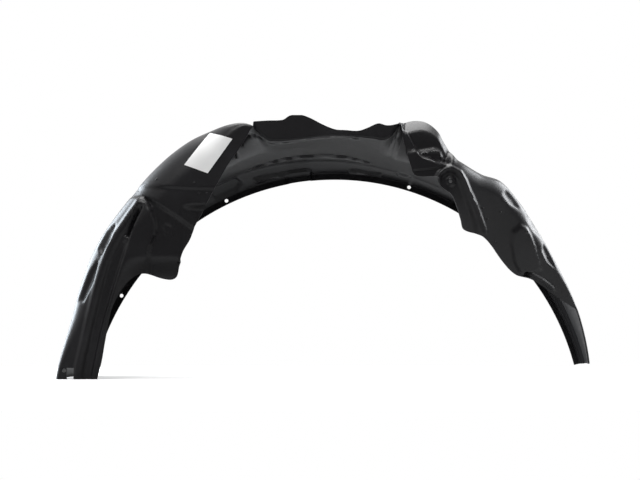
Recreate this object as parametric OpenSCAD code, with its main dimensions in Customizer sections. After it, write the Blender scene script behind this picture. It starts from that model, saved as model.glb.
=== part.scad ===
// Wheel-arch splash shield: one moulded sheet that runs over a road wheel from foot to foot.
// X runs along the car, Y runs from the car's inner side out to its wing, Z is up.
// Angles are taken about the wheel's axis, from the rear foot at the right over the top to the front one.

/* [Arch] */
// Radius of the rim that follows the wing's wheel opening
rim_r = 360; // [320:1:400]
// Width of the shield across the wheel, from its rim to its inner wall
depth = 260; // [220:1:300]
// Thickness of the moulded sheet
wall = 2.4; // [2:0.1:3.2]
// Angle at which the shield ends at its right foot
right_end = 14; // [10:1:18]
// Height of the left foot's lower end over the wheel's axis
foot_h = 73; // [66:1:80]
// Width that is left of the shield at its right foot
right_foot_w = 54; // [44:1:70]

/* [Rim] */
// Height of the flat flange round the rim
flange_h = 11; // [9.5:0.5:14]
// Run of the sloping outer wall, from the flange in to the roof
slope_w = 30; // [22:1:40]

/* [Clip holes] */
// Diameter of the clip holes in the rim flange
clip_d = 5.5; // [4:0.1:6]
// Distance of the clip holes from the rim's edge
clip_in = 5.5; // [4.5:0.1:6]
// Diameter of the bolt hole in the left foot
foot_bolt_d = 5; // [4:0.1:6]

// Diameter of the bolt hole in the pocket of the right wall
wall_bolt_d = 4.5; // [4:0.1:6]

/* [Label] */
// Length of the blank paper label
label_l = 62; // [40:1:70]
// Width of the blank paper label
label_w = 31; // [20:1:36]
// Thickness of the paper
paper = 0.4; // [0.3:0.05:0.8]

/* [Hidden] */
rim_y = depth / 2;
inner_y = -depth / 2;
upstand_in = 5;
clip_angles = [116, 72.5, 149, 157.5];
label_gap = 0.2;
label_a = 114.6;
label_s = 40;
label_turn = 24;
boss_d = 10;
boss_h = 8;
notch_in = 22;
notch_w = 9;
notch_h = 14;
foot_bolt_a = 166.2;
foot_bolt_in = 8.5;
wall_bolt_a = 66;
wall_bolt_in = 7.5;

// Height of the roof over the rim's radius, at the shoulder, as [angle, height]
roof_rise = [[14, 14], [45, 18], [76, 20], [90, 25], [109, 31], [135, 31], [150, 24], [160, 14], [169, 6]];
// Height of the roof's inner edge over the rim's radius
edge_rise = [[14, 12], [24, 14], [35, 16], [44, 22], [52, 31], [57, 34], [61, 25], [66, 24], [67.5, 28],
    [70, 40], [71.5, 50], [74, 58], [76.5, 56], [78.4, 47], [80.5, 24], [83, 22], [90, 23], [102.6, 25],
    [105.6, 50], [109, 60], [115, 65], [120, 62], [126, 54], [131, 46], [141, 34], [146, 26], [152, 15],
    [156, 8], [162, 3], [169, 0]];
// Height of the inner wall's free edge over the rim's radius, where there is such a wall
trim_rise = [[14, 30], [25, 20], [27, 9], [29.4, -1], [32, -10], [34.6, -17], [37.9, -27], [41.1, -41],
    [45.6, -44], [53, -40], [57.5, -49], [59.4, -41], [61.7, -31], [64, -22], [67.6, -17], [68.6, -9],
    [72.9, -16], [74.3, -11], [78, 33], [79, 60], [104, 60], [105, 50], [108.4, 27], [112, 10],
    [116, -9], [120, -25], [124.3, -39], [127, -49], [130, -56], [133, -66], [135.4, -72],
    [137, -69], [138.4, -58], [139.8, -41], [142, -33], [146, -31], [150, -34], [154, -40],
    [157.5, -45], [162.5, -50], [169, -51]];
// Lines on the inner walls, as height over the rim's radius: two ridges down the left leg, the rim of the
// pocket in the right wall, and the ledge under the right bump
ridge_a = [[134, 26], [140, 16], [148, -1], [156, -15], [164, -22], [169, -23]];
ridge_b = [[134, 9], [137, -1], [142, -15], [149, -28], [155.6, -35], [165, -41], [169, -42]];
pocket_rim = [[50, -70], [54.5, -42], [58.8, -23], [61.7, -10], [63.7, 0], [65.3, 7], [67.2, 7], [68.6, -2], [69.4, -20]];
ledge = [[66, 14], [67.4, 12], [69.4, 6], [72, -3], [75, -10], [79, -14]];
channel_depth = 5;
flap_in = 5;
pocket_in = 5;
bump_in = 12;
// Radius of the bend from the roof down into the inner wall
bend = [[14, 3], [30, 6], [40, 18], [57, 24], [66, 20], [70, 9], [78, 8], [80, 3], [105.5, 3], [109, 14],
    [114, 38], [130, 40], [150, 28], [160, 14], [165, 7], [169, 6]];
// Share by which the inner wall has moved over to the right foot's width
taper = [[14, 1], [24, 0.83], [35, 0.62], [44, 0.44], [52, 0.29], [57, 0.18], [63, 0.04], [66, 0], [169, 0]];
// Top edge of the upstand along the roof's inner edge, over the rim's radius
upstand_top = [[78, 50], [79.5, 42], [81, 39], [82.5, 40], [84.3, 33], [86, 28], [88.4, 28], [90.5, 29],
    [92.8, 36], [94.9, 45], [96.4, 50], [97.8, 51.5], [98.7, 50.5], [99.8, 47], [102.6, 50], [105, 53]];
upstand_from = 78.6;
upstand_to = 105.2;
// Rows of the mould's grid, as [from, to, steps]
spans = [[14, 62, 20], [62, 81, 20], [81, 102, 11], [102, 118, 14], [118, 133, 11], [133, 143, 10],
    [143, 169, 12]];
// Stations of the grid across the roof, round the bend and down the inner wall
roof_n = 12;
bend_n = 5;
wall_n = 6;

function shoulder_y() = rim_y - slope_w;
function mix(a, b, t) = a + (b - a) * t;
function clamp01(t) = min(1, max(0, t));
function ease(t) = let(c = clamp01(t)) c * c * (3 - 2 * c);

// Smooth curve through a table of [angle, value] knots
function knot(t, a, i = 0) = i >= len(t) - 2 || a < t[i + 1][0] ? i : knot(t, a, i + 1);
function grade(t, i) = let(p = t[max(0, i - 1)], n = t[min(len(t) - 1, i + 1)]) (n[1] - p[1]) / (n[0] - p[0]);
function along(t, a) =
    let(i = knot(t, a), p = t[i], n = t[i + 1], w = n[0] - p[0], u = clamp01((a - p[0]) / w),
        gp = grade(t, i) * w, gn = grade(t, i + 1) * w)
    p[1] * (1 + 2 * u) * (1 - u) * (1 - u) + gp * u * (1 - u) * (1 - u)
    + n[1] * u * u * (3 - 2 * u) - gn * u * u * (1 - u);

// Relief pressed into the sheet, outwards from the wheel
function hump(x, centre, half) = ease(1 - abs(x - centre) / half);
function band(x, from, to, edge) = ease((x - from) / edge + 0.5) * ease((to - x) / edge + 0.5);
function roof_relief(a, y) =
    let(line = shoulder_y() - 14 - 0.9 * abs(a - 94))
    3 * band(a, 82, 112, 6) * band(y, line, shoulder_y() - 6, 5);
function flap_line(h) = 139.6 - 0.166 * (h + 41);
function wall_relief(a, h) =
    let(leg = band(a, 133, 180, 5) * ease((along(ridge_a, a) - h) / 6) * ease((h - along(ridge_b, a)) / 6),
        flap = band(a, 125.2 + 0.06 * (h + 38), flap_line(h), 1.6),
        pocket = band(a, 52, 69.4, 2) * ease((along(pocket_rim, a) - h) / 6),
        bump = band(a, 67.2, 90, 1.6) * ease((h - along(ledge, a)) / 7))
    -channel_depth * leg - flap_in * flap - pocket_in * pocket - bump_in * bump;

// Section at one angle, as [y, radius] points
function near_y(a) = mix(inner_y, rim_y - right_foot_w, along(taper, a)) + (turned_up(a) ? upstand_in : 0);
function turned_up(a) = a > upstand_from && a < upstand_to;
function drop(a) = max(3, turned_up(a) ? along(upstand_top, a) - along(edge_rise, a)
    : along(edge_rise, a) - along(trim_rise, a));
function bend_r(a) = min(along(bend, a), drop(a) * 0.8);
function roof_at(a, y) =
    let(y_end = near_y(a) + bend_r(a), y_from = min(shoulder_y(), y_end + 110))
    rim_r + mix(along(edge_rise, a), along(roof_rise, a), ease((y - y_end) / (y_from - y_end + 0.01)))
    + roof_relief(a, y);
function rim_part(a) =
    let(top = [shoulder_y(), rim_r + along(roof_rise, a)], foot = [rim_y, rim_r + flange_h])
    [[rim_y, rim_r], foot, mix(foot, top, 0.45), mix(foot, top, 0.82), top + [1, -0.8]];
function roof_part(a) =
    let(y_end = near_y(a) + bend_r(a))
    [for (k = [1:roof_n]) let(y = mix(shoulder_y(), y_end, k / roof_n)) [y, roof_at(a, y)]];
function down(a, s, out = 0) =
    let(r = bend_r(a), turn = min(90, s / r * 180 / PI), rest = max(0, s - r * PI / 2),
        way = turned_up(a) ? -1 : 1, top = along(edge_rise, a),
        h = out + (way > 0 ? wall_relief(a, top - r + r * cos(turn) - rest) : 0))
    [near_y(a) + r - (r + h) * sin(turn), rim_r + top - way * (r - (r + h) * cos(turn) + rest)];
function down_len(a) = drop(a) + bend_r(a) * (PI / 2 - 1);
function wall_part(a) =
    let(arc = bend_r(a) * PI / 2, all = down_len(a))
    concat([for (k = [1:bend_n]) down(a, arc * k / bend_n)],
        [for (k = [1:wall_n]) down(a, mix(arc, all, k / wall_n))]);
function section(a) = concat(rim_part(a), roof_part(a), wall_part(a));
function unit(v) = v / norm(v);
function inward(s, j) = let(d = unit(s[min(len(s) - 1, j + 1)] - s[max(0, j - 1)])) [-d[1], d[0]];

// Turns a section point into a point in space
function spin(a, p) = [p[1] * cos(a), p[0], p[1] * sin(a)];
angles = concat([for (s = spans) for (k = [0:s[2] - 1]) mix(s[0], s[1], k / s[2])], [169]);
function outer_row(a) = let(s = section(a)) [for (p = s) spin(a, p)];
function inner_row(a) = let(s = section(a)) [for (j = [0:len(s) - 1]) spin(a, s[j] + wall * inward(s, j))];
outer_grid = [for (a = angles) outer_row(a)];
inner_grid = [for (a = angles) inner_row(a)];

// The frame's origin lies under the middle of the shield, at its lowest point
function spread(k) = [for (row = outer_grid) for (p = row) p[k]];
origin = [(max(spread(0)) + min(spread(0))) / 2, 0, foot_h];

// Closed sheet between two grids of points
function quad(a, b, c, d) = [[a, b, c], [a, c, d]];
function sheet_faces(n, m) =
    let(o = function(i, j) i * m + j, q = function(i, j) (n + i) * m + j)
    concat(
        [for (i = [0:n - 2], j = [0:m - 2]) each quad(o(i, j), o(i + 1, j), o(i + 1, j + 1), o(i, j + 1))],
        [for (i = [0:n - 2], j = [0:m - 2]) each quad(q(i, j), q(i, j + 1), q(i + 1, j + 1), q(i + 1, j))],
        [for (i = [0:n - 2]) each quad(o(i, 0), q(i, 0), q(i + 1, 0), o(i + 1, 0))],
        [for (i = [0:n - 2]) each quad(o(i, m - 1), o(i + 1, m - 1), q(i + 1, m - 1), q(i, m - 1))],
        [for (j = [0:m - 2]) each quad(o(0, j), o(0, j + 1), q(0, j + 1), q(0, j))],
        [for (j = [0:m - 2]) each quad(o(n - 1, j), q(n - 1, j), q(n - 1, j + 1), o(n - 1, j + 1))]);
module sheet(outer, inner) {
    n = len(outer);
    m = len(outer[0]);
    polyhedron([for (g = [outer, inner]) for (row = g) for (p = row) p], sheet_faces(n, m));
}

// Where a hole or boss lies on the rim's flange
module at_rim(a, in) rotate([0, -a, 0]) translate([rim_r + in, 0, 0]) children();
module clip_holes() {
    for (a = clip_angles) at_rim(a, clip_in) translate([0, rim_y - 3 * wall, 0]) rotate([-90, 0, 0])
        cylinder(h = 6 * wall, d = clip_d, $fn = 32);
}
module clip_boss() {
    at_rim(clip_angles[0] - 1, flange_h + 6) translate([0, rim_y - wall - boss_h - 6, 0]) rotate([-90, 0, 0])
        cylinder(h = boss_h, d = boss_d, $fn = 32);
}

// Bolt holes through the inner walls: one in the left foot, one in the right wall's pocket
module wall_hole(a, in, d) at_rim(a, -in) translate([0, inner_y - wall, 0]) rotate([-90, 0, 0])
    cylinder(h = 8 * wall, d = d, $fn = 32);
module bolt_holes() {
    wall_hole(foot_bolt_a, foot_bolt_in, foot_bolt_d);
    wall_hole(wall_bolt_a, wall_bolt_in, wall_bolt_d);
}

// Level end of the left foot and the notch in it
module foot_end() {
    translate([-2 * rim_r, -depth, -foot_h]) cube([2 * rim_r, 2 * depth, 2 * foot_h]);
    translate([notch_in - rim_r, inner_y - wall, 0]) cube([notch_w, 9 * wall, foot_h + notch_h]);
}

module splash_shield() color([0.1, 0.1, 0.11]) translate(-origin) difference() {
    union() {
        sheet(outer_grid, inner_grid);
        clip_boss();
    }
    clip_holes();
    bolt_holes();
    foot_end();
}

// Blank paper label that follows the left panel's shoulder
function label_point(u, v, out) =
    let(x = (u - 0.5) * label_l, y = (v - 0.5) * label_w,
        a = label_a + (x * cos(label_turn) - y * sin(label_turn)) / (rim_r + 34) * 180 / PI,
        s = label_s + x * sin(label_turn) + y * cos(label_turn))
    spin(a, down(a, s, out));
module label() {
    n = 12;
    m = 7;
    function grid(out) = [for (i = [0:n]) [for (j = [0:m]) label_point(i / n, j / m, out)]];
    color("white") translate(-origin) sheet(grid(label_gap + paper), grid(label_gap));
}

splash_shield();
label();
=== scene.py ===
import math
import bmesh
import bpy
import numpy as np
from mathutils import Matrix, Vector
from mathutils.bvhtree import BVHTree


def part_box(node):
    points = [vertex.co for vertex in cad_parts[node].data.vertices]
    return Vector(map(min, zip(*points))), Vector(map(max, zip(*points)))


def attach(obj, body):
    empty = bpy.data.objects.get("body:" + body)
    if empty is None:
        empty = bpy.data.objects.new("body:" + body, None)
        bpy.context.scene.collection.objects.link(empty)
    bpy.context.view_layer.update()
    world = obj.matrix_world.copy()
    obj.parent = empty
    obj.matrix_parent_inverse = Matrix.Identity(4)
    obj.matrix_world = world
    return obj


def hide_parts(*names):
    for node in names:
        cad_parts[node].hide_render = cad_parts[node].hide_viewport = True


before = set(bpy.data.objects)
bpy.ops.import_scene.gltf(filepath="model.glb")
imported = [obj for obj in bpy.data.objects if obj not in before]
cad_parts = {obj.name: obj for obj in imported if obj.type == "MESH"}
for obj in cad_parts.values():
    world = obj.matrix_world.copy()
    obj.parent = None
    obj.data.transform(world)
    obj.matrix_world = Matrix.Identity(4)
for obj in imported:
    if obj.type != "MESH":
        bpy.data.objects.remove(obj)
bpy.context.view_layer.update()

mm = 0.001
axisX, axisZ = 0.665822, -73.0  # the wheel's axis in the frame, in mm

# the mould, in millimetres and degrees about the wheel's axis, as the CAD source has it
mould = {
    "rimRadius": 360.0, "depth": 260.0, "wall": 2.4, "rightFootWidth": 54.0, "flangeHeight": 11.0,
    "slopeWidth": 30.0, "upstandIn": 5.0, "upstandFrom": 78.6, "upstandTo": 105.2, "roofReach": 110.0,
    "bumpIn": 12.0, "guideEdge": 6.0, "proud": 1.6,
}
roofRise = [(14, 14), (45, 18), (76, 20), (90, 25), (109, 31), (135, 31), (150, 24), (160, 14), (169, 6)]
edgeRise = [(14, 12), (24, 14), (35, 16), (44, 22), (52, 31), (57, 34), (61, 25), (66, 24), (67.5, 28),
            (70, 40), (71.5, 50), (74, 58), (76.5, 56), (78.4, 47), (80.5, 24), (83, 22), (90, 23),
            (102.6, 25), (105.6, 50), (109, 60), (115, 65), (120, 62), (126, 54), (131, 46), (141, 34),
            (146, 26), (152, 15), (156, 8), (162, 3), (169, 0)]
trimRise = [(14, 30), (25, 20), (27, 9), (29.4, -1), (32, -10), (34.6, -17), (37.9, -27), (41.1, -41),
            (45.6, -44), (53, -40), (57.5, -49), (59.4, -41), (61.7, -31), (64, -22), (67.6, -17),
            (68.6, -9), (72.9, -16), (74.3, -11), (78, 33), (79, 60), (104, 60), (105, 50), (108.4, 27),
            (112, 10), (116, -9), (120, -25), (124.3, -39), (127, -49), (130, -56), (133, -66),
            (135.4, -72), (137, -69), (138.4, -58), (139.8, -41), (142, -33), (146, -31), (150, -34),
            (154, -40), (157.5, -45), (162.5, -50), (169, -51)]
guide1 = [(14, 8), (40, -40), (50, -34), (54.5, -31), (58.8, -23), (61.7, -10), (63.7, 0), (65.3, 6),
          (67.2, 9), (69.4, 6), (72, -3), (75, -9), (79, -9), (105, 40), (110, 28), (120, 27), (134, 24),
          (140, 16), (148, -1), (156, -15), (164, -22), (169, -23)]
guide2 = [(14, 6), (40, -42), (105, 36), (112, 16), (120, 2), (134, -3), (137, -6), (142, -16),
          (149, -28), (155.6, -36), (165, -43), (169, -44)]
bendRadius = [(14, 3), (30, 6), (40, 18), (57, 24), (66, 20), (70, 9), (74, 14), (77.5, 20), (78.4, 18),
              (80, 3), (105.5, 3),
              (109, 14), (114, 38), (130, 40), (150, 28), (160, 14), (165, 7), (169, 6)]
taper = [(14, 1), (24, 0.83), (35, 0.62), (44, 0.44), (52, 0.29), (57, 0.18), (63, 0.04), (66, 0), (169,
                                                                                                    0)]
upstandTop = [(78, 50), (79.5, 42), (81, 39), (82.5, 40), (84.3, 33), (86, 28), (88.4, 28), (90.5, 29),
              (92.8, 36), (94.9, 45), (96.4, 50), (97.8, 51.5), (98.7, 50.5), (99.8, 47), (102.6,
                                                                                           50), (105, 53)]
rowSpans = [(14, 45, 3.3), (45, 62, 2.9), (62, 81, 1.75), (81, 104, 3.0), (104, 118, 2.4), (118, 145,
                                                                                            2.2), (145, 169, 2.8)]


def along(table, a):  # smooth curve through (angle, value) knots
    t = np.asarray(table, float)
    x, v = t[:, 0], t[:, 1]
    i = np.clip(np.searchsorted(x, a, side="right") - 1, 0, len(x) - 2)
    before, after = np.maximum(np.arange(len(x)) - 1, 0), np.minimum(np.arange(len(x)) + 1, len(x) - 1)
    grade = (v[after] - v[before]) / (x[after] - x[before])
    w = x[i + 1] - x[i]
    u = np.clip((a - x[i]) / w, 0, 1)
    return (v[i] * (1 + 2 * u) * (1 - u) ** 2 + grade[i] * w * u * (1 - u) ** 2
            + v[i + 1] * u * u * (3 - 2 * u) - grade[i + 1] * w * u * u * (1 - u))


def ease(t):
    c = np.clip(t, 0, 1)
    return c * c * (3 - 2 * c)


def band(x, low, high, edge):
    return ease((x - low) / edge + 0.5) * ease((high - x) / edge + 0.5)


def mouldRows():
    rows = []
    for low, high, step in rowSpans:
        n = max(1, round(math.radians(high - low) * 400 / step))
        rows += [low + (high - low) * k / n for k in range(n)]
    return np.array(rows + [rowSpans[-1][1]])


def curveBetween(p, corner, q, n):  # rounds a corner of the section
    t = (np.arange(1, n + 1) / (n + 1))[:, None, None]
    return [(1 - s) ** 2 * p + 2 * s * (1 - s) * corner + s * s * q for s in t]


def sectionGrid(a):
    """points (rows, columns, [y, radius]) of the bare mould"""
    m = mould
    rimY, innerY, R = m["depth"] / 2, m["proud"] - m["depth"] / 2, m["rimRadius"]
    shoulderY = rimY - m["slopeWidth"]
    turnedUp = (a > m["upstandFrom"]) & (a < m["upstandTo"])
    edge, roof = along(edgeRise, a), along(roofRise, a)
    drop = np.maximum(3, np.where(turnedUp, along(upstandTop, a) - edge, edge - along(trimRise, a)))
    r = np.minimum(along(bendRadius, a), drop * 0.8)
    nearY = innerY + (rimY - m["rightFootWidth"] - innerY) * along(taper, a) + np.where(turnedUp,
                                                                                        m["upstandIn"], 0)
    yEnd = nearY + r
    yFrom = np.minimum(shoulderY, yEnd + m["roofReach"])

    def point(y, radius):  # the same place in every section
        return np.stack([y + 0 * a, radius + 0 * a], -1)

    foot, top = point(rimY, R + m["flangeHeight"]), point(shoulderY, R + roof)
    toTop = top - foot
    toTop = toTop / np.linalg.norm(toTop, axis=1)[:, None]
    span = np.linalg.norm(top - foot, axis=1)[:, None]
    cols = [point(rimY, R + h) for h in (0, 2.8, 5.5, 8.2)]
    cols += curveBetween(point(rimY, R + 8.6), foot, foot + toTop * 2.4, 3)
    low, high = foot + toTop * 2.6, top - toTop * 7
    cols += [low + (high - low) * k / 8 for k in range(9)]
    roofStart = point(shoulderY - 7, R + roof)
    cols += curveBetween(high, top, roofStart, 5)
    nRoof = 36
    for k in range(nRoof + 1):
        y = shoulderY - 7 + (yEnd - shoulderY + 7) * k / nRoof
        rise = edge + (roof - edge) * ease((y - yEnd) / (yFrom - yEnd + 0.01))
        cols.append(point(y, R + rise))
    allLen = drop + r * (math.pi / 2 - 1)

    def lengthTo(h):
        fall = edge - h
        arc = r * np.arccos(np.clip(1 - np.clip(fall, 0, None) / r, -1, 1))
        return np.where(fall < r, arc, fall + r * (math.pi / 2 - 1))

    s1 = np.where(turnedUp, r * math.pi / 2, np.minimum(0.7 * allLen, np.maximum(0.35 * allLen,
                                                                                 lengthTo(along(guide1, a)))))
    s2 = np.minimum(s1 + 0.75 * (allLen - s1), np.maximum(s1 + 0.35 * (allLen - s1),
                                                          lengthTo(along(guide2, a))))
    stations = [s1 * k / 22 for k in range(1, 23)] + [s1 + (s2 - s1) * k / 20 for k in range(1, 21)]
    stations += [s2 + (allLen - s2) * k / 16 for k in range(1, 17)]
    way = np.where(turnedUp, -1, 1)
    flat = 0.9 * band(a, 68.5, 79, 1.5)
    firstWall = len(cols)
    S = [0 * a] * firstWall
    for s in stations:
        turn, rest = np.minimum(math.pi / 2, s / r), np.maximum(0, s - r * math.pi / 2)
        part = turn * 2 / math.pi  # the bend is round, and flat like a chamfer on the bump
        side, fall = np.sin(turn) + (part - np.sin(turn)) * flat, 1 - np.cos(turn) + (part - 1 + np.cos(turn)) * flat
        cols.append(np.stack([nearY + r - r * side, R + edge - way * (r * fall + rest)], -1))
        S.append(s)
    return np.stack(cols, 1), {"S": np.stack(S, 1), "s1": s1, "s2": s2, "firstWall": firstWall,
                               "turnedUp": turnedUp, "yEnd": yEnd}


def spin(a, section):
    ang = np.radians(a)[:, None]
    y, rad = section[..., 0], section[..., 1]
    return np.stack([rad * np.cos(ang), y, rad * np.sin(ang)], -1)


# forms pressed into the inner walls: points are (x, z) about the wheel's axis, heights are out of
# the sheet
wallForms = [
    ("area", -1.8, 2.4, [(-270, 317), (-242, 316.5), (-209, 314), (-177, 312.3), (-150, 312), (-150, 245),
                         (-182, 262), (-199, 274), (-217, 286), (-229, 294), (-241, 302), (-270, 306)]),
    ("area", -6.0, 4.6, [(-247, 304), (-241, 302), (-229, 294), (-217, 286), (-199, 274), (-182, 262),
                         (-150, 243),
                         (-150, 170), (-252, 170), (-243, 205), (-239, 223), (-236, 241), (-229.5,
                                                                                           257), (-230, 272),
                         (-237, 288)]),
    ("rib", 2.6, 7.0, [(-252, 297), (-270, 270), (-281, 253), (-288, 239), (-296, 215), (-303, 188),
                       (-314, 138),
                       (-324, 91), (-331, 55)]),
    ("area", -3.6, 5.0, [(-250, 291), (-264, 268), (-274, 251), (-281, 238), (-289, 214), (-296, 187),
                         (-307, 138),
                         (-317, 91), (-323, 50), (-312, 50), (-307, 80), (-297, 132), (-288,
                                                                                       167), (-276, 208),
                         (-265, 244), (-259, 264), (-247, 290)]),
    ("rib", -4.6, 3.4, [(-252, 289), (-257, 276), (-261, 264), (-265, 254)]),
    ("rib", 3.4, 4.4, [(-267, 250), (-268, 248)]),
    ("ring", 1.5, 1.8, (-215, 260, 5.0)),
    ("slope", -0.45, 1.5, [(-200, 290), (-199.5, 253), (-200, 235), (-203, 212), (-206, 196)]),
    # the bump on the right and the ledge below it
    ("area", 4.2, 3.0, [(70, 356), (92, 358), (108, 360), (124, 363), (129, 361.5), (132, 356), (134,
                                                                                                 340), (70, 334)]),
    ("rib", 3.2, 3.6, [(84, 357), (108, 360), (124, 363), (131, 361), (134, 352), (135, 343)]),
    ("rib", 3.0, 4.6, [(124, 322), (130, 332), (136, 337), (144, 339.5), (155, 334), (162, 324), (169,
                                                                                                  310),
                       (180, 291), (193, 264)]),
    ("area", -4.2, 5.0, [(128, 318), (133, 329), (140, 334), (148, 333), (155, 326), (160, 315), (168,
                                                                                                  298),
                         (180, 272), (186, 245), (150, 262), (136, 296)]),
    ("area", 2.8, 2.4,
     [(145 + 6 * math.cos(k * math.pi / 8), 322 + 6 * math.sin(k * math.pi / 8)) for k in range(16)]),
    # the outer side of the right wall
    ("area", 3.0, 3.2, [(244, 274), (257, 264), (267, 243), (277, 218), (262, 214), (246, 213), (237,
                                                                                                 226), (231, 248),
                        (231, 264)]),
    ("area", 3.2, 2.2, [(246, 271), (253, 271), (254, 265), (247, 265)]),
    ("area", -4.0, 2.4, [(254, 214), (260, 214), (260, 208), (254, 208)]),
    ("rib", 3.0, 5.0, [(263, 211), (279, 204), (296, 193)]),
    ("area", -3.2, 5.0, [(222, 318), (236, 306), (240, 296), (228, 300), (218, 312)]),
    ("area", -3.2, 5.0, [(256, 290), (268, 276), (274, 262), (264, 268), (254, 282)]),
    ("area", -3.2, 5.0, [(280, 252), (290, 238), (296, 222), (286, 228), (278, 242)]),
    # hollows on the outer side of the left leg
    ("area", -4.0, 6.0, [(-283, 268), (-292, 262), (-302, 238), (-298, 230), (-288, 246)]),
    ("area", -4.0, 6.0, [(-303, 220), (-312, 208), (-326, 172), (-320, 170), (-308, 196)]),
]
# forms of the roof and the sloping outer wall: points are (angle, y)
roofForms = [
    ("rib", 5.0, 2.8, [(108.5, -56), (106.5, -82), (104, -101), (100, -112), (96, -117), (91.4, -117.5)]),
    ("rib", 5.0, 2.8, [(90.3, -117), (88, -115), (85.4, -109)]),
    ("rib", 5.0, 2.8, [(84.4, -108), (81.5, -107)]),
    ("area", 6.0, 3.0, [(111.7, -29), (109.6, -43), (109.9, -24)]),
    ("area", 8.0, 5.0, [(109, 84), (107.4, 78), (104.8, 69), (102.1, 54), (96.8, 44), (91.8, 39), (88,
                                                                                                   44), (84.1, 63),
                        (82, 78), (84.1, 76), (88, 66), (91.8, 62), (96.8, 66), (102.1, 76), (104.8,
                                                                                              82)]),
    ("rib", -4.6, 5.0, [(107.9, 119), (104.5, 120.5), (101.4, 121.5)]),
    ("rib", -4.6, 5.0, [(86.4, 121.5), (83.2, 121), (79.8, 119.5)]),
    ("area", -3.6, 1.8, [(95.7, 132), (95.7, 118), (101, 118), (101, 132)]),
    ("area", 4.0, 6.0, [(119, 104), (112, 104), (111, 116), (113, 126), (118, 126)]),
    ("rib", -4.0, 9.0, [(75.2, 100), (74, 100)]),
    ("rib", -3.6, 3.6, [(12, 126), (34, 126)]),
    ("rib", -3.6, 3.6, [(12, 118), (33, 118)]),
    ("rib", -3.6, 3.6, [(12, 110), (31, 110)]),
]


def lineDistance(x, z, line):
    best, side = np.full(x.shape, 1e9), np.zeros(x.shape)
    for (ax, az), (bx, bz) in zip(line[:-1], line[1:]):
        dx, dz = bx - ax, bz - az
        t = np.clip(((x - ax) * dx + (z - az) * dz) / (dx * dx + dz * dz), 0, 1)
        d = np.hypot(x - ax - t * dx, z - az - t * dz)
        cross = dx * (z - az) - dz * (x - ax)
        side = np.where(d < best, np.sign(cross), side)
        best = np.minimum(best, d)
    return best, side


def insideDistance(x, z, outline):
    inside = np.zeros(x.shape, bool)
    for (ax, az), (bx, bz) in zip(outline, outline[1:] + outline[:1]):
        if az != bz:
            inside ^= ((az > z) != (bz > z)) & (x < (bx - ax) * (z - az) / (bz - az) + ax)
    d, _ = lineDistance(x, z, outline + outline[:1])
    return np.where(inside, d, -d)


def pressed(forms, x, z):
    h = np.zeros(x.shape)
    for kind, height, width, shape in forms:
        if kind == "rib":
            h += height * ease(1 - lineDistance(x, z, shape)[0] / width)
        elif kind == "area":
            h += height * ease(insideDistance(x, z, shape) / width + 0.5)
        elif kind == "ring":
            h += height * ease(1 - abs(np.hypot(x - shape[0], z - shape[1]) - shape[2]) / width)
        elif kind == "slope":  # falls away on the right of a fold
            d, side = lineDistance(x, z, shape)
            low, high = min(p[1] for p in shape), max(p[1] for p in shape)
            inBand = ease((z - low) / 8 + 0.5) * ease((high - z) / 8 + 0.5)
            h += height * np.clip(d - width, 0, 20) * (side > 0) * (d < 40) * inBand
    return h


def gridNormals(p):
    du = np.gradient(p, axis=0)
    dv = np.gradient(p, axis=1)
    n = np.cross(du, dv)
    return n / np.maximum(1e-9, np.linalg.norm(n, axis=2))[..., None]


def sheetSurface():
    a = mouldRows()
    section, info = sectionGrid(a)
    p = spin(a, section)
    n = gridNormals(p)
    first = info["firstWall"]
    m = mould
    s, s1, s2 = info["S"], info["s1"][:, None], info["s2"][:, None]
    A = np.broadcast_to(a[:, None], s.shape)
    e1, e = np.minimum(m["guideEdge"], s1 / 4), np.minimum(m["guideEdge"], (s2 - s1) / 3)
    down = ~info["turnedUp"][:, None] & (np.arange(s.shape[1])[None, :] >= first)
    # the bump on the right stands further in than the panel below its ledge, and the roof runs in with it
    fade = ease(1 - (p[..., 1] - info["yEnd"][:, None]) / 60)
    recess = m["bumpIn"] * band(A, 67.8, 78.5, 1.6) * np.where(down, ease((s1 - s) / e1), fade)
    h = np.where(down, pressed(wallForms, p[..., 0], p[..., 2]), 0)
    # the wall's lower lip on the left leg turns in, and so does the top of the bump
    d, side = lineDistance(p[..., 0], p[..., 2], [(-262, 245), (-273, 209), (-285, 168), (-294, 133),
                                                  (-310, 60)])
    h += np.where(down & (p[..., 0] < -200), -0.8 * np.clip(d - 1.5, 0,
                                                            25) * (side > 0) * ease((228 - p[...,
                                                                                             2]) / 30), 0)
    onRoof = np.arange(s.shape[1])[None, :] < first
    arc = math.radians(1) * 385
    toArc = [(k, hh, w, [(q[0] * arc, q[1]) for q in sh]) for k, hh, w, sh in roofForms]
    h += np.where(onRoof, pressed(toArc, A * arc, p[..., 1]), 0)
    p = p + n * h[..., None]
    p[..., 1] += recess
    return a, p, info


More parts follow.
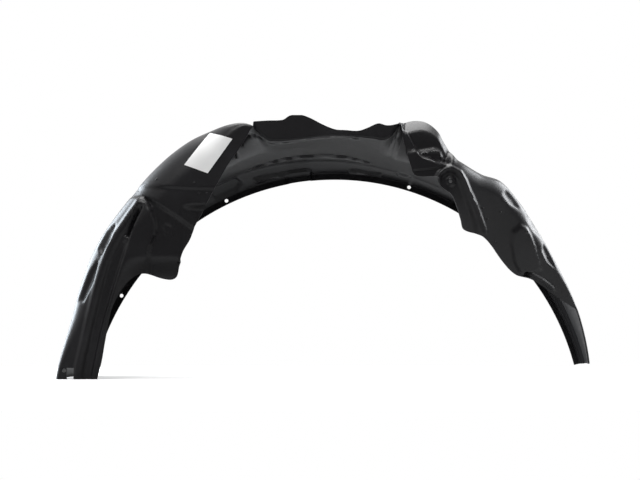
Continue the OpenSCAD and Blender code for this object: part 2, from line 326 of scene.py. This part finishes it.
class Field:  # a node socket that can be written in sums, in a shader tree or a geometry tree
    def __init__(self, tree, socket=None):
        self.tree, self.socket = tree, socket

    def make(self, kind, settings=None, inputs=None, output=0):
        node = self.tree.nodes.new(kind)
        for key, value in (settings or {}).items():
            if key == "stops":
                ramp = node.color_ramp
                while len(ramp.elements) < len(value):
                    ramp.elements.new(0.5)
                for stop, (place, shade) in zip(ramp.elements, value):
                    stop.position, stop.color = place, (*shade, 1)
            else:
                setattr(node, key, value)
        for key, value in (inputs or {}).items():
            for one in value if isinstance(value, list) else [value]:
                if isinstance(one, Field):
                    self.tree.links.new(one.socket, node.inputs[key])
                else:
                    node.inputs[key].default_value = one
        return Field(self.tree, node.outputs[output] if len(node.outputs) else None)

    def maths(self, operation, a, b):
        return self.make("ShaderNodeMath", {"operation": operation}, {0: a, 1: b})

    def __add__(self, other): return self.maths("ADD", self, other)
    def __radd__(self, other): return self.maths("ADD", other, self)
    def __sub__(self, other): return self.maths("SUBTRACT", self, other)
    def __rsub__(self, other): return self.maths("SUBTRACT", other, self)
    def __mul__(self, other): return self.maths("MULTIPLY", self, other)
    def __rmul__(self, other): return self.maths("MULTIPLY", other, self)

    def between(self, low, high):  # 0 below low, 1 above high
        return self.make("ShaderNodeMapRange", {"interpolation_type": "SMOOTHSTEP"},
                         {"Value": self, "From Min": low, "From Max": high})

    def blend(self, a, b):  # colour a where this is 0, b where it is 1
        return self.make("ShaderNodeMix", {"data_type": "RGBA"}, {0: self, 6: a, 7: b}, 2)


def newMaterial(name):
    mat = bpy.data.materials.new(name)
    mat.use_nodes = True
    mat.node_tree.nodes.clear()
    return mat, Field(mat.node_tree)


plastic = {"shade": (0.0085, 0.008, 0.0092, 1), "worn": (0.017, 0.0172, 0.0195, 1), "roughness": 0.31,
           "grain": 900.0, "grainDepth": 0.000022, "pebble": 260.0, "pebbleDepth": 0.00005}


def plasticMaterial():  # black moulded plastic: fine grain, faint haze and scuffs
    mat, f = newMaterial("blackPlastic")
    where = f.make("ShaderNodeTexCoord", output=3)
    haze = f.make("ShaderNodeTexNoise", None, {"Vector": where, "Scale": 14.0, "Detail": 5.0,
                                               "Roughness": 0.6})
    scuff = f.make("ShaderNodeTexNoise", None, {"Vector": where, "Scale": 90.0, "Detail": 4.0,
                                                "Roughness": 0.7})
    grain = f.make("ShaderNodeTexNoise", None, {"Vector": where, "Scale": plastic["grain"],
                                                "Detail": 2.0})
    pebble = f.make("ShaderNodeTexVoronoi", None, {"Vector": where, "Scale": plastic["pebble"]})
    worn = haze.between(0.42, 0.75) * 0.55 + scuff.between(0.62, 0.74) * 0.25
    colour = worn.blend(plastic["shade"], plastic["worn"])
    rough = plastic["roughness"] + haze * 0.08 - scuff.between(0.55, 0.8) * 0.06 + grain * 0.05
    fine = f.make("ShaderNodeBump", None, {"Strength": 1.0, "Distance": plastic["grainDepth"],
                                           "Height": grain})
    bump = f.make("ShaderNodeBump", None, {"Strength": 1.0, "Distance": plastic["pebbleDepth"],
                                           "Height": pebble,
                                           "Normal": fine})
    shader = f.make("ShaderNodeBsdfPrincipled", None, {"Base Color": colour, "Roughness": rough,
                                                       "Normal": bump,
                                                      "IOR": 1.42})
    f.make("ShaderNodeOutputMaterial", None, {"Surface": shader})
    return mat


def paperMaterial():  # matt white label stock
    mat, f = newMaterial("labelPaper")
    where = f.make("ShaderNodeTexCoord", output=3)
    fibre = f.make("ShaderNodeTexNoise", None, {"Vector": where, "Scale": 1400.0, "Detail": 4.0})
    cloud = f.make("ShaderNodeTexNoise", None, {"Vector": where, "Scale": 60.0, "Detail": 3.0})
    colour = (cloud * 0.6 + fibre * 0.4).blend((0.86, 0.86, 0.85, 1), (0.93, 0.93, 0.93, 1))
    bump = f.make("ShaderNodeBump", None, {"Strength": 0.6, "Distance": 0.00004, "Height": fibre})
    shader = f.make("ShaderNodeBsdfPrincipled", None, {"Base Color": colour,
                                                       "Roughness": 0.55 + fibre * 0.15,
                                                      "Normal": bump})
    f.make("ShaderNodeOutputMaterial", None, {"Surface": shader})
    return mat


def meshObject(name, verts, faces):
    mesh = bpy.data.meshes.new(name)
    mesh.from_pydata([tuple(v) for v in verts], [], faces)
    obj = bpy.data.objects.new(name, mesh)
    bpy.context.scene.collection.objects.link(obj)
    return obj


def toFrame(p):
    return (np.asarray(p, float).reshape(-1, 3) + [axisX, 0, axisZ]) * mm


def newTree(name, inputs):  # a geometry tree, its helper, and its inputs as fields and identifiers
    tree = bpy.data.node_groups.new(name, "GeometryNodeTree")
    names = {}
    for label, kind in [("Geometry", "Geometry")] + inputs:
        names[label] = tree.interface.new_socket(label, in_out="INPUT",
                                                 socket_type="NodeSocket" + kind).identifier
    tree.interface.new_socket("Geometry", in_out="OUTPUT", socket_type="NodeSocketGeometry")
    start = tree.nodes.new("NodeGroupInput")
    return tree, Field(tree), {k: Field(tree, start.outputs[k]) for k in names}, names


def endTree(f, geometry, material):
    whole = f.make("GeometryNodeRealizeInstances", None, {0: geometry})
    f.make("NodeGroupOutput", None,
           {0: f.make("GeometryNodeSetMaterial", None, {"Geometry": whole, "Material": material})})


def grown(obj, tree, names, values):  # the tree's result on obj, as a plain mesh
    mod = obj.modifiers.new(tree.name, "NODES")
    mod.node_group = tree
    for label, value in values.items():
        mod[names[label]] = value
    evaluated = obj.evaluated_get(bpy.context.evaluated_depsgraph_get())
    mesh = bpy.data.meshes.new_from_object(evaluated)
    obj.modifiers.remove(mod)
    old, obj.data = obj.data, mesh
    bpy.data.meshes.remove(old)
    return obj


def wallTree():  # gives an open skin its wall: a copy set back along the normals, with the edges between
    tree, f, given, names = newTree("mouldedWall", [("Wall", "Float"), ("Material", "Material")])
    normal = f.make("GeometryNodeInputNormal")
    back = f.make("ShaderNodeVectorMath", {"operation": "SCALE"}, {0: normal,
                                                                   "Scale": -1 * given["Wall"]})
    moved = f.make("GeometryNodeExtrudeMesh", {"mode": "FACES"},
                   {"Mesh": given["Geometry"], "Offset": back, "Offset Scale": 1.0, "Individual": False})
    turned = f.make("GeometryNodeFlipFaces", None, {"Mesh": moved})
    both = f.make("GeometryNodeJoinGeometry", None, {0: [given["Geometry"], turned]})
    closed = f.make("GeometryNodeMergeByDistance", None, {"Geometry": both, "Distance": 1e-6})
    endTree(f, closed, given["Material"])
    return tree, names


def pipTree():  # a small dome on every point, square to the sheet
    tree, f, given, names = newTree("pips", [("Radius", "Float"), ("Flatness", "Float"), ("Material",
                                                                                          "Material")])
    ball = f.make("GeometryNodeMeshUVSphere", None, {"Segments": 16, "Rings": 8,
                                                     "Radius": given["Radius"]})
    way = f.make("GeometryNodeInputNamedAttribute", {"data_type": "FLOAT_VECTOR"}, {"Name": "outwards"})
    turn = f.make("FunctionNodeAlignEulerToVector", {"axis": "Z"}, {"Vector": way})
    size = f.make("ShaderNodeCombineXYZ", None, {0: 1.0, 1: 1.0, 2: given["Flatness"]})
    placed = f.make("GeometryNodeInstanceOnPoints", None,
                    {"Points": given["Geometry"], "Instance": ball, "Rotation": turn, "Scale": size})
    endTree(f, placed, given["Material"])
    return tree, names


holes = {"clip": [(116, 365.5, 2.75), (72.5, 365.5, 2.75), (149, 365.5, 2.75), (157.5, 365.5, 2.75)],
         "bolt": [(166.2, 351.5, 2.5), (66, 352.5, 2.25)], "sides": 40,
         "footHeight": 73.0, "notch": (-338.0, -329.0, 87.0), "notchDepth": 20.0}


# closed mesh for the clip and bolt holes with the foot's notch, or for the foot's level end
def cutter(part):
    bm = bmesh.new()
    for low, high, group in ((112, 150, "clip"), (-160, -100, "bolt")) if part == "holes" else ():
        for angle, radius, r in holes[group]:
            x, z = radius * math.cos(math.radians(angle)), radius * math.sin(math.radians(angle))
            rings = [[bm.verts.new(((x + r * math.cos(t) + axisX) * mm, y * mm,
                                    (z + r * math.sin(t) + axisZ) * mm))
                      for t in (2 * math.pi * k / holes["sides"] for k in range(holes["sides"]))] for y in (low, high)]
            for k in range(holes["sides"]):
                n = (k + 1) % holes["sides"]
                bm.faces.new((rings[0][k], rings[1][k], rings[1][n], rings[0][n]))
            bm.faces.new(rings[0])
            bm.faces.new(rings[1][::-1])
    x0, x1, top = holes["notch"]
    notch = (x0, -150, holes["footHeight"] - 5), (x1, -130 + holes["notchDepth"], top)
    level = (-700, -400, -73), (0, 400, holes["footHeight"])
    for low, high in [notch if part == "holes" else level]:
        corners = [bm.verts.new(((low[0] if i & 1 else high[0]) * mm + axisX * mm,
                                 (low[1] if i & 2 else high[1]) * mm,
                                 ((low[2] if i & 4 else high[2]) + axisZ) * mm)) for i in range(8)]
        for quad in ((0, 1, 3, 2), (4, 6, 7, 5), (0, 4, 5, 1), (2, 3, 7, 6), (0, 2, 6, 4), (1, 5, 7, 3)):
            bm.faces.new([corners[i] for i in quad])
    bmesh.ops.recalc_face_normals(bm, faces=bm.faces[:])
    mesh = bpy.data.meshes.new("cutter")
    bm.to_mesh(mesh)
    bm.free()
    obj = bpy.data.objects.new("cutter", mesh)
    bpy.context.scene.collection.objects.link(obj)
    return obj


def shieldSheet(material):
    a, p, info = sheetSurface()
    n, m = p.shape[:2]
    quads = [(i * m + j, (i + 1) * m + j, (i + 1) * m + j + 1,
              i * m + j + 1) for i in range(n - 1) for j in range(m - 1)]
    low, high = (np.array(corner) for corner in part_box("splash_shield"))
    obj = meshObject("shield_sheet", np.clip(toFrame(p), low, high), quads)
    tree, names = wallTree()
    grown(obj, tree, names, {"Wall": mould["wall"] * mm, "Material": material})
    for part in ("holes", "level"):
        tool = cutter(part)
        cut = obj.modifiers.new("cut", "BOOLEAN")
        cut.operation, cut.solver, cut.object = "DIFFERENCE", "MANIFOLD", tool
        mesh = bpy.data.meshes.new_from_object(obj.evaluated_get(bpy.context.evaluated_depsgraph_get()))
        obj.modifiers.remove(cut)
        old, obj.data = obj.data, mesh
        bpy.data.meshes.remove(old)
        bpy.data.objects.remove(tool)
    mesh.materials.clear()
    mesh.materials.append(material)
    mesh.shade_smooth()
    mesh.set_sharp_from_angle(angle=math.radians(42))
    print("sheet:", len(mesh.vertices), "points,", sum(len(q.vertices) - 2 for q in mesh.polygons),
          "triangles")
    return obj


def onSheet(tree, x, z, fromWheel=False):  # where a line across the car meets the sheet, and its normal
    start = Vector(((x + axisX) * mm, -0.5, (z + axisZ) * mm))
    hit, normal, _, _ = tree.ray_cast(start, Vector((0, 1, 0)))
    if hit is None:
        hit, normal, _, _ = tree.find_nearest(Vector((start.x, -0.13, start.z)))
    return hit, normal


label = {"corners": [(-163, 386), (-133, 376), (-164, 332), (-194, 343)], "thickness": 0.4, "gap": 0.12,
         "cornerRadius": 0.09, "across": 18, "along": 34}


def paperLabel(sheetTree, material):  # blank, laid on the panel's curve
    n, m = label["along"], label["across"]
    c = [np.array(p, float) for p in label["corners"]]
    grid = []
    for i in range(n + 1):
        u = i / n
        for j in range(m + 1):
            v = j / m
            x, z = (c[0] * (1 - v) + c[1] * v) * (1 - u) + (c[3] * (1 - v) + c[2] * v) * u
            hit, normal = onSheet(sheetTree, x, z)
            grid.append((hit, normal))
    top = [h + q * (label["gap"] + label["thickness"]) * mm for h, q in grid]
    low = [h + q * label["gap"] * mm for h, q in grid]
    w = m + 1
    faces = [(i * w + j, (i + 1) * w + j, (i + 1) * w + j + 1,
              i * w + j + 1) for i in range(n) for j in range(m)]
    k = len(top)
    faces += [tuple(q + k for q in reversed(face)) for face in faces]
    edge = [j for j in range(w)] + [i * w + m for i in range(1,
                                                             n + 1)] + [n * w + j for j in range(m - 1,
                                                                                                 -1, -1)]
    edge += [i * w for i in range(n - 1, 0, -1)]
    faces += [(q, r, r + k, q + k) for q, r in zip(edge, edge[1:] + edge[:1])]
    obj = meshObject("label_paper_sheet", top + low, faces)
    bm = bmesh.new()
    bm.from_mesh(obj.data)
    bmesh.ops.recalc_face_normals(bm, faces=bm.faces[:])
    bm.to_mesh(obj.data)
    bm.free()
    obj.data.materials.append(material)
    return obj


pips = {"radius": 1.5, "flatness": 0.55,
        "places": [(-181, 320), (-175, 307), (-165, 307), (-230, 326), (189, 292), (196, 279), (208,
                                                                                                251), (214, 289)]}


def mouldPips(sheetTree, material):
    found = [onSheet(sheetTree, x, z) for x, z in pips["places"]]
    obj = meshObject("mould_pips", [h for h, _ in found], [])
    out = obj.data.attributes.new("outwards", "FLOAT_VECTOR", "POINT")
    out.data.foreach_set("vector", [c for _, q in found for c in q])
    tree, names = pipTree()
    grown(obj, tree, names, {"Radius": pips["radius"] * mm, "Flatness": pips["flatness"],
                             "Material": material})
    obj.data.shade_smooth()
    return obj


def studio():
    bpy.ops.mesh.primitive_plane_add(size=1.7, location=(0, 0, -0.0005))
    floor = bpy.context.object
    floor.name = "floor"
    mat, f = newMaterial("paleFloor")
    seen = f.make("ShaderNodeLightPath", output=0)
    shade = seen.blend((0.3, 0.3, 0.3, 1), (0.86, 0.86, 0.86, 1))
    matt = f.make("ShaderNodeBsdfDiffuse", None, {"Color": shade})
    glow = f.make("ShaderNodeEmission", None, {"Color": (1, 1, 1, 1), "Strength": seen * 0.42})
    f.make("ShaderNodeOutputMaterial", None,
           {"Surface": f.make("ShaderNodeAddShader", None, {0: matt, 1: glow})})
    floor.data.materials.append(mat)
    world = bpy.data.worlds.new("studio")
    bpy.context.scene.world = world
    world.use_nodes = True
    world.node_tree.nodes.clear()
    f = Field(world.node_tree)
    way = f.make("ShaderNodeTexCoord", output=0)
    split = world.node_tree.nodes.new("ShaderNodeSeparateXYZ")
    world.node_tree.links.new(way.socket, split.inputs[0])
    across, behind, above = (Field(f.tree, split.outputs[k]) for k in range(3))
    sides = (0 - across).between(0.45, 0.95) * 0.9 + across.between(0.5, 0.95) * 0.6
    lit = (behind.between(-0.1, 0.5) * 0.95 + above.between(0.4,
                                                            0.9) * 0.35 + sides) * above.between(-0.02,
                                                                                                 0.14) + 0.05
    camera = f.make("ShaderNodeLightPath", output=0)
    strength = camera + (1 - camera) * f.maths("MINIMUM", lit, 1.0)
    f.make("ShaderNodeOutputWorld", None, {"Surface": f.make("ShaderNodeBackground", None,
                                                                      {"Color": (1, 1, 1, 1),
                                                                       "Strength": strength})})
    for name, place, size, power, shade in (("keyLight", (-0.5, -2.0, 2.3), 1.2, 38, (1, 1, 1)),
                                            ("topLight", (0.0, 0.3, 2.1), 2.0, 55, (1, 1, 1)),
                                            ("leftLight", (-1.5, 0.7, 0.6), 1.2, 34, (0.84, 0.92, 1)),
                                            ("rightLight", (1.5, 0.7, 0.7), 1.2, 26, (0.95, 0.97, 1))):
        lamp = bpy.data.lights.new(name, "AREA")
        lamp.shape, lamp.size, lamp.energy, lamp.color = "DISK", size, power, shade
        obj = bpy.data.objects.new(name, lamp)
        obj.location = place
        obj.rotation_euler = (Vector((0, 0, 0.15)) - Vector(place)).to_track_quat("-Z", "Y").to_euler()
        bpy.context.scene.collection.objects.link(obj)


def photoCamera():
    data = bpy.data.cameras.new("camera")
    data.lens, data.sensor_width = 67.5, 36
    obj = bpy.data.objects.new("camera", data)
    obj.location = (-0.0213, -1.634, 0.040)
    obj.rotation_euler = (math.radians(95.1), 0, 0)
    bpy.context.scene.collection.objects.link(obj)
    bpy.context.scene.camera = obj


scene = bpy.context.scene
scene.view_settings.view_transform = "Standard"
photoCamera()
studio()
print("stage set")
black, paper = plasticMaterial(), paperMaterial()
sheet = shieldSheet(black)
surface = BVHTree.FromPolygons([v.co.copy() for v in sheet.data.vertices],
                               [tuple(q.vertices) for q in sheet.data.polygons])
print("sheet moulded")
tag = paperLabel(surface, paper)
dots = mouldPips(surface, black)
print("label and pips laid on")
for piece, node, slotName in ((sheet, "splash_shield", "black_plastic"), (tag, "label", "label_paper")):
    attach(piece, "root")
    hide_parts(node)
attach(dots, "root")
